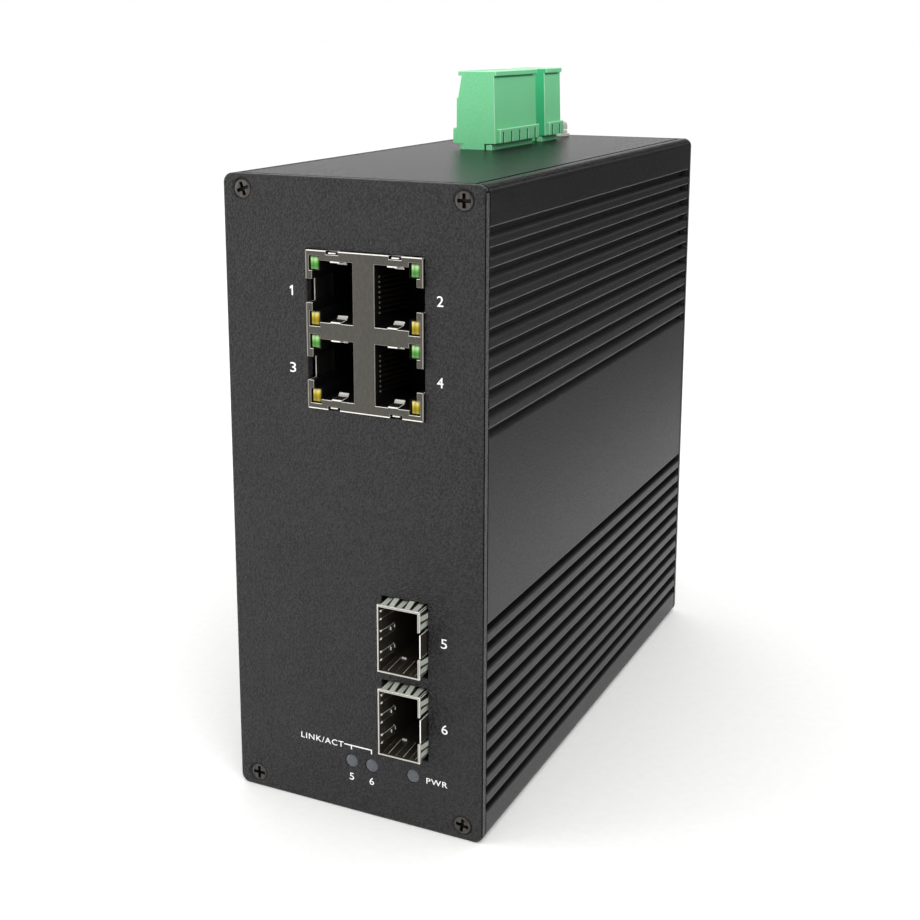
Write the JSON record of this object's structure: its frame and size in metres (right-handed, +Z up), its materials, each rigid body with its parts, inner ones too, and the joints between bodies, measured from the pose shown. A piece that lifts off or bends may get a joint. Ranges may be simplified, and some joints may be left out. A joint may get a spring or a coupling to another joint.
{
  "type": "ethernet switch",
  "caption": "Rail-mounted industrial ethernet switch: finned black metal case, shielded network sockets, optical module cages and green screw terminals on top",
  "frame": {"origin": "middle of the flat bottom face that the case stands on", "axes": "+X to the right of someone facing the sockets, +Y from the sockets to the rear, +Z up"},
  "size_m": [0.0582, 0.1442, 0.1526],
  "materials": {
    "case_black": "black anodised, extruded, satin",
    "panel_black": "fine textured powder coat",
    "screw_black": "black oxide, satin",
    "clip_metal": "natural anodised, extruded",
    "spring_steel": "rolled strip, satin",
    "shield_steel": "tin plated sheet, satin",
    "cage_steel": "nickel plated sheet",
    "jack_plastic": "moulded, matte",
    "contact_gold": "gold plated",
    "lamp_green": "moulded light pipe, clear tint",
    "lamp_amber": "moulded light pipe, clear tint",
    "lens_grey": "diffused epoxy lens",
    "board_green": "glass-filled laminate with solder mask",
    "chip_black": "moulded epoxy",
    "pad_grey": "filled silicone",
    "heat_metal": "milled",
    "can_black": "shrunk sleeve",
    "terminal_green": "moulded polyamide, satin",
    "plated_steel": "zinc plated"
  },
  "bodies": {
    "root": {"side_wall_left": "case_black", "side_wall_right": "case_black", "top_cover": "case_black", "bottom_cover": "case_black", "front_panel": "panel_black", "rear_panel": "panel_black", "panel_screws": "screw_black", "rail_clip": "clip_metal", "rail_clip_spring": "spring_steel", "sfp_springs_5": "spring_steel", "sfp_springs_6": "spring_steel", "jack_shield": "shield_steel", "sfp_cage_5": "cage_steel", "sfp_cage_6": "cage_steel", "jack_housing": "jack_plastic", "sfp_connector_5": "jack_plastic", "sfp_connector_6": "jack_plastic", "board_connector": "jack_plastic", "jack_contacts_1": "contact_gold", "jack_contacts_2": "contact_gold", "jack_contacts_3": "contact_gold", "jack_contacts_4": "contact_gold", "link_lamp_1": "lamp_green", "link_lamp_2": "lamp_green", "link_lamp_3": "lamp_green", "link_lamp_4": "lamp_green", "activity_lamp_1": "lamp_amber", "activity_lamp_2": "lamp_amber", "activity_lamp_3": "lamp_amber", "activity_lamp_4": "lamp_amber", "indicator_5": "lens_grey", "indicator_6": "lens_grey", "indicator_power": "lens_grey", "indicator_board": "board_green", "main_board": "board_green", "power_board": "board_green", "switch_chip": "chip_black", "lan_transformer_1": "chip_black", "lan_transformer_2": "chip_black", "power_inductor": "chip_black", "thermal_pad": "pad_grey", "heat_block": "heat_metal", "bulk_capacitor_1": "can_black", "bulk_capacitor_2": "can_black", "power_header": "terminal_green", "power_plug": "terminal_green", "alarm_header": "terminal_green", "alarm_plug": "terminal_green", "header_pins": "plated_steel", "plug_clamps": "plated_steel", "plug_screws": "plated_steel", "rail_clip_screws": "plated_steel", "earth_washer": "plated_steel", "earth_spring_washer": "plated_steel", "earth_screw": "plated_steel"}
  },
  "joints": []
}
